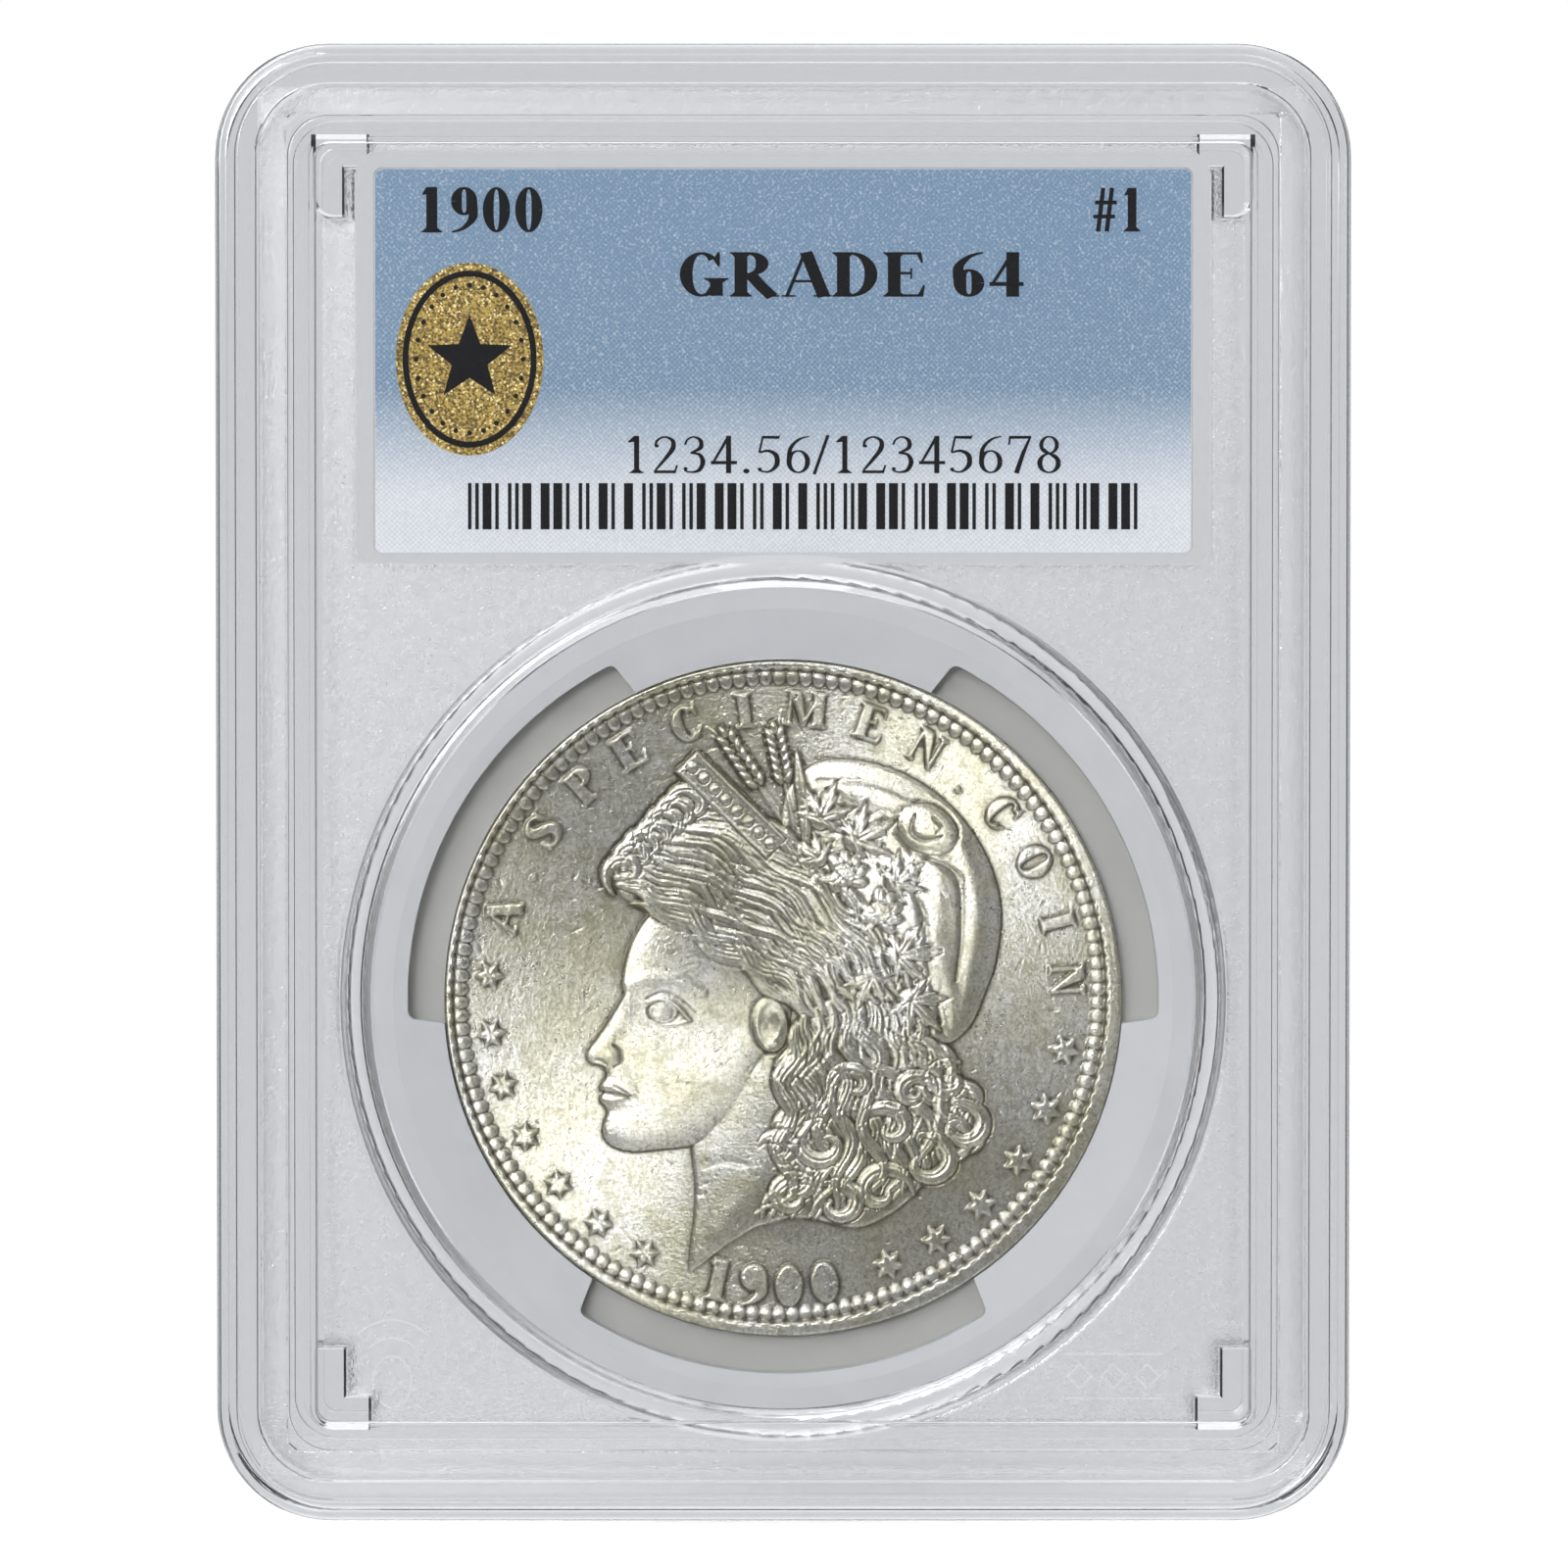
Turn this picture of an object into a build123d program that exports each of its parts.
"""A graded coin slab: a clear welded case that holds one silver coin and its paper labels.

The slab stands on its bottom edge. X runs across it, Z up it, and Y through its thickness, with the
front, the side that shows the coin's head, facing -Y. The origin is the centre of the bottom edge.

Two clear shells lap round the rim: the front shell's skirt closes over the rear shell's tongue. Each
shell carries half of a round wall that seats the gasket, four corner posts that meet the other
shell's posts, and a label block. The coin sits in the gasket on three pads, with three recesses
between them that leave its edge in view. Two labels lie between the label blocks, with a radio tag
between them: a film, a coil, a chip and a strap.
"""

from build123d import *

import os

# ---- driving dimensions, in millimetres ----
WIDTH = 63.5
HEIGHT = 82.8
THICKNESS = 8.0
CORNER_R = 6.4

MID_Z = HEIGHT / 2
COIN_Z = 29.3

# Levels through the thickness, as distances from the middle plane.
FACE = THICKNESS / 2
SHOULDER = 3.45
PANEL = 3.2
CEILING = 1.9
SEAM_Y = 0.4
CLEAR = 0.06

# The rim's steps, as distances in from the outline.
SKIRT = 1.16
RIDGE = 2.4
BAND = 4.1
LEDGE = 5.7
BAND_LEVEL = 3.6
LEDGE_LEVEL = 3.85

# The round wall and the gasket in it.
WALL_OUT_R = 24.85
WALL_IN_R = 23.15
WALL_IN_DRAFT = 0.5
WALL_OUT_DRAFT = 0.24
WALL_TIP_R = 0.3
GASKET_R = 23.05
GASKET_HALF = 1.72
GASKET_SLOPE_R = 21.9
GASKET_INNER_HALF = 1.42
SLOT_R = 21.1
SLOT_SPAN = 66
SLOT_CENTRES = (30, 150, 270)
WEB_HALF = 0.3

# The coin.
COIN_R = 19.05
COIN_HALF = 1.2
COIN_FIELD_HALF = 1.06
COIN_RIM_IN_R = 17.95
COIN_GAP = 0.03

# The label block, and what lies in its pocket.
LABEL_W = 45.8
LABEL_H = 21.5
LABEL_Z = 65.1
BLOCK_W = 47.8
BLOCK_H = 23.0
BLOCK_Z = 65.25
BLOCK_RISE = 0.25
BLOCK_IN = 0.5
POCKET_FLOOR = 0.42
PAPER = 0.22
FRONT_LABEL_Y = -0.42
REAR_LABEL_Y = 0.10
FOIL = 0.03

# The seals, printed foil stuck on each label.
SEAL_W = 8.3
SEAL_H = 10.8
SEAL_X = -17.6
SEAL_Z = 65.2
REAR_SEAL_W = 14.0
REAR_SEAL_H = 18.0

# The radio tag.
FILM = 0.05
TRACK = 0.035
TRACK_W = 0.32
TRACK_PITCH = 0.7
COIL_TURNS = 6
COIL_W = 26.0
COIL_H = 14.0
COIL_Z = LABEL_Z
CHIP = 1.1
CHIP_T = 0.1

# The corner posts.
POST_X = 26.4
POST_IN_Z = 5.1
POST_ARM_W = 1.85
POST_ARM_H = 4.6
POST_ARM_L = 3.25
POST_CORNER_R = 1.2
POST_DRAFT = 0.2

# The ribs round the inside of each shell.
RIB_W = 0.34
FRONT_RIB = 5.22
REAR_RIB = 4.60
RIB_RISE = 0.6

# The moulded marks on the front panel.
MARK_W = 0.14
MARK_RISE = 0.08

COIN_AXIS = Axis((0, 0, COIN_Z), (0, 1, 0))
COIN_PLANE = Plane((0, 0, COIN_Z), x_dir=(1, 0, 0), z_dir=(0, 0, 1))


def level(y):
    """The upright plane at this Y, with X to the right, Z up, and its normal towards the front."""
    return Plane.XZ.offset(-y)


def outline(inset):
    """The slab's outline, drawn in by inset, in the current sketch."""
    with Locations((0, MID_Z)):
        RectangleRounded(WIDTH - 2 * inset, HEIGHT - 2 * inset, max(CORNER_R - inset, 0.8))


def slab_of(inset, y_from, y_to, mode=Mode.ADD):
    """A layer of the outline between two levels."""
    with BuildSketch(level(y_from)) as layer:
        outline(inset)
    extrude(layer.sketch, amount=y_from - y_to, mode=mode)


def block_of(width, height, z, y_from, y_to, radius, mode=Mode.ADD):
    """A rounded block between two levels."""
    with BuildSketch(level(y_from)) as block:
        with Locations((0, z)):
            RectangleRounded(width, height, radius)
    extrude(block.sketch, amount=y_from - y_to, mode=mode)


def post_corners():
    """Each corner post's outer corner, and the way in from it."""
    return [
        (side * POST_X, z, -side, up)
        for side in (-1, 1)
        for z, up in ((POST_IN_Z, 1), (HEIGHT - POST_IN_Z, -1))
    ]


def posts(y_from, y_to):
    """Four L-shaped corner posts between two levels."""
    for x, z, inward, up in post_corners():
        with BuildSketch(level(y_from)) as ell:
            with Locations((x + inward * POST_ARM_W / 2, z + up * POST_ARM_H / 2)):
                Rectangle(POST_ARM_W, POST_ARM_H)
            with Locations((x + inward * POST_ARM_L / 2, z + up * POST_ARM_W / 2)):
                Rectangle(POST_ARM_L, POST_ARM_W)
            outer = ell.vertices().sort_by_distance((x, y_from, z))[0]
            fillet(outer, POST_CORNER_R)
        # The arms narrow from root to tip, as a moulding's draft needs.
        tip = offset(ell.sketch, amount=-POST_DRAFT, kind=Kind.INTERSECTION, mode=Mode.PRIVATE)
        loft([ell.sketch, tip.moved(Location((0, y_to - y_from, 0)))])


def inner_rib(inset, y_from, y_to):
    """A narrow rib that runs round the inside of a shell."""
    with BuildSketch(level(y_from)) as rib:
        outline(inset)
        with Locations((0, MID_Z)):
            RectangleRounded(
                WIDTH - 2 * (inset + RIB_W), HEIGHT - 2 * (inset + RIB_W), 0.8, mode=Mode.SUBTRACT
            )
    extrude(rib.sketch, amount=y_from - y_to)


def round_wall(side):
    """One shell's half of the round wall, with draft and a round tip. side is -1 in front."""
    root = side * CEILING
    tip = side * CLEAR / 2
    with BuildSketch(COIN_PLANE) as section:
        with BuildLine():
            Polyline(
                (WALL_IN_R, root),
                (WALL_IN_R + WALL_IN_DRAFT, tip),
                (WALL_OUT_R - WALL_OUT_DRAFT, tip),
                (WALL_OUT_R, root),
                close=True,
            )
        make_face()
        tips = [corner for corner in section.vertices() if abs(corner.Y - tip) < 0.01]
        fillet(tips, WALL_TIP_R)
    revolve(section.sketch, axis=COIN_AXIS)


# ---- front shell ----
with BuildPart() as front_shell:
    slab_of(0, SEAM_Y, -SHOULDER)
    fillet(front_shell.faces().sort_by(Axis.Y)[0].edges(), 0.7)
    slab_of(SKIRT, -SHOULDER, -FACE)
    fillet(front_shell.faces().sort_by(Axis.Y)[0].edges(), 0.2)
    # The sunken band behind the ridge, and the ledge inside it.
    with BuildSketch(level(-FACE)):
        outline(RIDGE)
        with Locations((0, MID_Z)):
            RectangleRounded(
                WIDTH - 2 * BAND, HEIGHT - 2 * BAND, CORNER_R - BAND, mode=Mode.SUBTRACT
            )
    extrude(amount=-(FACE - BAND_LEVEL), mode=Mode.SUBTRACT)
    slab_of(BAND, -LEDGE_LEVEL, -FACE, Mode.SUBTRACT)
    slab_of(LEDGE, -PANEL, -FACE, Mode.SUBTRACT)
    ledge_rims = [
        edge
        for edge in front_shell.edges()
        if -LEDGE_LEVEL - 0.01 < edge.center().Y < -LEDGE_LEVEL + 0.01
        or -FACE - 0.01 < edge.center().Y < -FACE + 0.01
        and edge.bounding_box().size.X < WIDTH - 2 * SKIRT - 0.5
    ]
    fillet(ledge_rims, 0.12)
    block_of(BLOCK_W, BLOCK_H, BLOCK_Z, -PANEL, -PANEL - BLOCK_RISE, 1.0)
    # The hollow behind, inside the skirt.
    slab_of(SKIRT, SEAM_Y, -CEILING, Mode.SUBTRACT)
    round_wall(-1)
    block_of(BLOCK_W, BLOCK_H, BLOCK_Z, -CEILING, -BLOCK_IN, 1.0)
    # The wall stops short of the rear shell's label block.
    block_of(BLOCK_W + 0.2, BLOCK_H + 0.2, BLOCK_Z, -BLOCK_IN, SEAM_Y, 1.0, Mode.SUBTRACT)
    posts(-CEILING, -BLOCK_IN)
    inner_rib(FRONT_RIB, -CEILING, -CEILING + RIB_RISE)
    # Moulded marks: a plain oval under two arcs at the left, a chain of lozenges at the right.
    with BuildSketch(level(-PANEL)):
        with Locations((-21.9, 7.9)):
            Ellipse(1.15, 1.5)
            Ellipse(1.15 - MARK_W, 1.5 - MARK_W, mode=Mode.SUBTRACT)
    extrude(amount=MARK_RISE)
    for radius in (1.75, 2.75):
        with BuildSketch(level(-PANEL)):
            with BuildLine():
                CenterArc((-21.9, 8.6), radius, 45, 90)
                offset(amount=MARK_W / 2)
            make_face()
        extrude(amount=MARK_RISE)
    with BuildSketch(level(-PANEL)):
        with Locations(*[(18.5 + 1.9 * step, 8.2) for step in (-1, 0, 1)]):
            Rectangle(1.1, 1.1, rotation=45)
            Rectangle(1.1 - 2 * MARK_W, 1.1 - 2 * MARK_W, rotation=45, mode=Mode.SUBTRACT)
        with Locations((18.5, 6.95), (18.5, 9.45)):
            Rectangle(5.6, MARK_W)
    extrude(amount=MARK_RISE)

# ---- rear shell ----
with BuildPart() as rear_shell:
    slab_of(0, SEAM_Y + CLEAR, SHOULDER)
    fillet(rear_shell.faces().sort_by(Axis.Y)[-1].edges(), 0.7)
    # The stacking ridge drops into the sunken band of the slab behind.
    with BuildSketch(level(SHOULDER)):
        outline(RIDGE + 0.1)
        with Locations((0, MID_Z)):
            RectangleRounded(
                WIDTH - 2 * BAND + 0.2, HEIGHT - 2 * BAND + 0.2, CORNER_R - BAND + 0.1,
                mode=Mode.SUBTRACT,
            )
    extrude(amount=-(FACE - SHOULDER))
    fillet(rear_shell.faces().sort_by(Axis.Y)[-1].edges(), 0.12)
    slab_of(LEDGE, PANEL, SHOULDER, Mode.SUBTRACT)
    # The hollow in front, inside the rim.
    slab_of(RIDGE, SEAM_Y + CLEAR, CEILING, Mode.SUBTRACT)
    # The tongue, which the front shell's skirt closes over.
    with BuildSketch(level(SEAM_Y + CLEAR)):
        outline(SKIRT + CLEAR)
        with Locations((0, MID_Z)):
            RectangleRounded(
                WIDTH - 2 * RIDGE, HEIGHT - 2 * RIDGE, CORNER_R - RIDGE, mode=Mode.SUBTRACT
            )
    extrude(amount=SEAM_Y + CLEAR + CEILING - CLEAR)
    round_wall(1)
    block_of(BLOCK_W, BLOCK_H, BLOCK_Z, CEILING, -BLOCK_IN + CLEAR / 2, 1.0)
    block_of(LABEL_W + 0.2, LABEL_H + 0.2, LABEL_Z, -FACE, POCKET_FLOOR, 0.5, Mode.SUBTRACT)
    posts(CEILING, -BLOCK_IN + CLEAR / 2)
    inner_rib(REAR_RIB, CEILING, CEILING - RIB_RISE)

# ---- gasket ----
with BuildPart() as coin_gasket:
    with BuildSketch(COIN_PLANE):
        with BuildLine():
            Polyline(
                (COIN_R + COIN_GAP, -GASKET_INNER_HALF),
                (GASKET_SLOPE_R, -GASKET_HALF),
                (GASKET_R, -GASKET_HALF),
                (GASKET_R, GASKET_HALF),
                (GASKET_SLOPE_R, GASKET_HALF),
                (COIN_R + COIN_GAP, GASKET_INNER_HALF),
                close=True,
            )
        make_face()
    revolve(axis=COIN_AXIS)
    # Three recesses in each side leave the coin's edge in view, with a thin web between them; the
    # pads between the recesses grip the coin.
    with BuildSketch(level(-THICKNESS / 2)) as slots:
        for centre in SLOT_CENTRES:
            start = centre - SLOT_SPAN / 2
            with BuildLine():
                outer_arc = CenterArc((0, COIN_Z), SLOT_R, start, SLOT_SPAN)
                inner_arc = CenterArc((0, COIN_Z), COIN_R - 1, start - 2, SLOT_SPAN + 4)
                Line(outer_arc @ 0, inner_arc @ 0)
                Line(outer_arc @ 1, inner_arc @ 1)
            make_face()
        outer_corners = [
            corner
            for corner in slots.vertices()
            if (corner.center() - Vector(0, corner.Y, COIN_Z)).length > SLOT_R - 0.1
        ]
        fillet(outer_corners, 0.5)
    recess = THICKNESS / 2 - WEB_HALF
    extrude(slots.sketch, amount=-recess, mode=Mode.SUBTRACT)
    rear_slots = slots.sketch.moved(Location((0, THICKNESS / 2 + WEB_HALF, 0)))
    extrude(rear_slots, amount=-recess, mode=Mode.SUBTRACT)

# ---- coin ----
with BuildPart() as silver_coin:
    with BuildSketch(COIN_PLANE):
        with BuildLine():
            Polyline(
                (0, -COIN_FIELD_HALF),
                (COIN_RIM_IN_R, -COIN_FIELD_HALF),
                (COIN_RIM_IN_R + 0.2, -COIN_HALF),
                (COIN_R - 0.1, -COIN_HALF),
                (COIN_R, -COIN_HALF + 0.1),
                (COIN_R, COIN_HALF - 0.1),
                (COIN_R - 0.1, COIN_HALF),
                (COIN_RIM_IN_R + 0.2, COIN_HALF),
                (COIN_RIM_IN_R, COIN_FIELD_HALF),
                (0, COIN_FIELD_HALF),
                close=True,
            )
        make_face()
    revolve(axis=COIN_AXIS)


def sheet_part(width, height, x, z, y, thickness, radius):
    """A flat sheet whose front face is at this Y."""
    with BuildPart() as sheet:
        with BuildSketch(level(y)):
            with Locations((x, z)):
                RectangleRounded(width, height, radius)
        extrude(amount=-thickness)
    return sheet


def seal_part(width, height, x, z, y):
    """An oval foil seal whose front face is at this Y."""
    with BuildPart() as seal:
        with BuildSketch(level(y)):
            with Locations((x, z)):
                Ellipse(width / 2, height / 2)
        extrude(amount=-FOIL)
    return seal


front_label = sheet_part(LABEL_W, LABEL_H, 0, LABEL_Z, FRONT_LABEL_Y, PAPER, 0.4)
rear_label = sheet_part(LABEL_W, LABEL_H, 0, LABEL_Z, REAR_LABEL_Y, PAPER, 0.4)
front_seal = seal_part(SEAL_W, SEAL_H, SEAL_X, SEAL_Z, FRONT_LABEL_Y - FOIL)
rear_seal = seal_part(REAR_SEAL_W, REAR_SEAL_H, 0, LABEL_Z, REAR_LABEL_Y + PAPER)

# ---- radio tag ----
tag_film = sheet_part(COIL_W + 4, COIL_H + 4, 0, COIL_Z, 0, FILM, 1.0)

with BuildPart() as tag_coil:
    with BuildSketch(level(0)):
        with BuildLine():
            corners = []
            for turn in range(COIL_TURNS):
                half_w = COIL_W / 2 - turn * TRACK_PITCH
                half_h = COIL_H / 2 - turn * TRACK_PITCH
                step_in = TRACK_PITCH if turn else 0
                corners += [
                    (-half_w - step_in, -half_h),
                    (half_w, -half_h),
                    (half_w, half_h),
                    (-half_w, half_h),
                ]
            last = COIL_TURNS * TRACK_PITCH
            corners.append((-COIL_W / 2 + last - TRACK_PITCH, -COIL_H / 2 + last))
            corners.append((-CHIP / 2, -COIL_H / 2 + last))
            Polyline(*[(x, z + COIL_Z) for x, z in corners])
        trace(line_width=TRACK_W)
    extrude(amount=TRACK)

with BuildPart() as tag_chip:
    with BuildSketch(level(-TRACK)):
        with Locations((0, COIL_Z - COIL_H / 2 + COIL_TURNS * TRACK_PITCH)):
            RectangleRounded(CHIP, CHIP, 0.1)
    extrude(amount=CHIP_T)

with BuildPart() as tag_strap:
    with BuildSketch(level(FILM + TRACK)):
        with Locations((0, COIL_Z - COIL_H / 2 + (COIL_TURNS - 1) * TRACK_PITCH / 2 + 0.3)):
            RectangleRounded(1.2, COIL_TURNS * TRACK_PITCH + 0.8, 0.3)
    extrude(amount=TRACK)

# ---- one STEP for each piece ----
pieces = {
    "front_shell": front_shell,
    "rear_shell": rear_shell,
    "coin_gasket": coin_gasket,
    "silver_coin": silver_coin,
    "front_label": front_label,
    "rear_label": rear_label,
    "front_seal": front_seal,
    "rear_seal": rear_seal,
    "tag_film": tag_film,
    "tag_coil": tag_coil,
    "tag_chip": tag_chip,
    "tag_strap": tag_strap,
}
os.makedirs("parts", exist_ok=True)
for name, piece in pieces.items():
    piece.part.label = name
    export_step(piece.part, f"parts/{name}.step")
    box = piece.part.bounding_box()
    print(name, "volume", round(piece.part.volume, 1), "size", box.size)
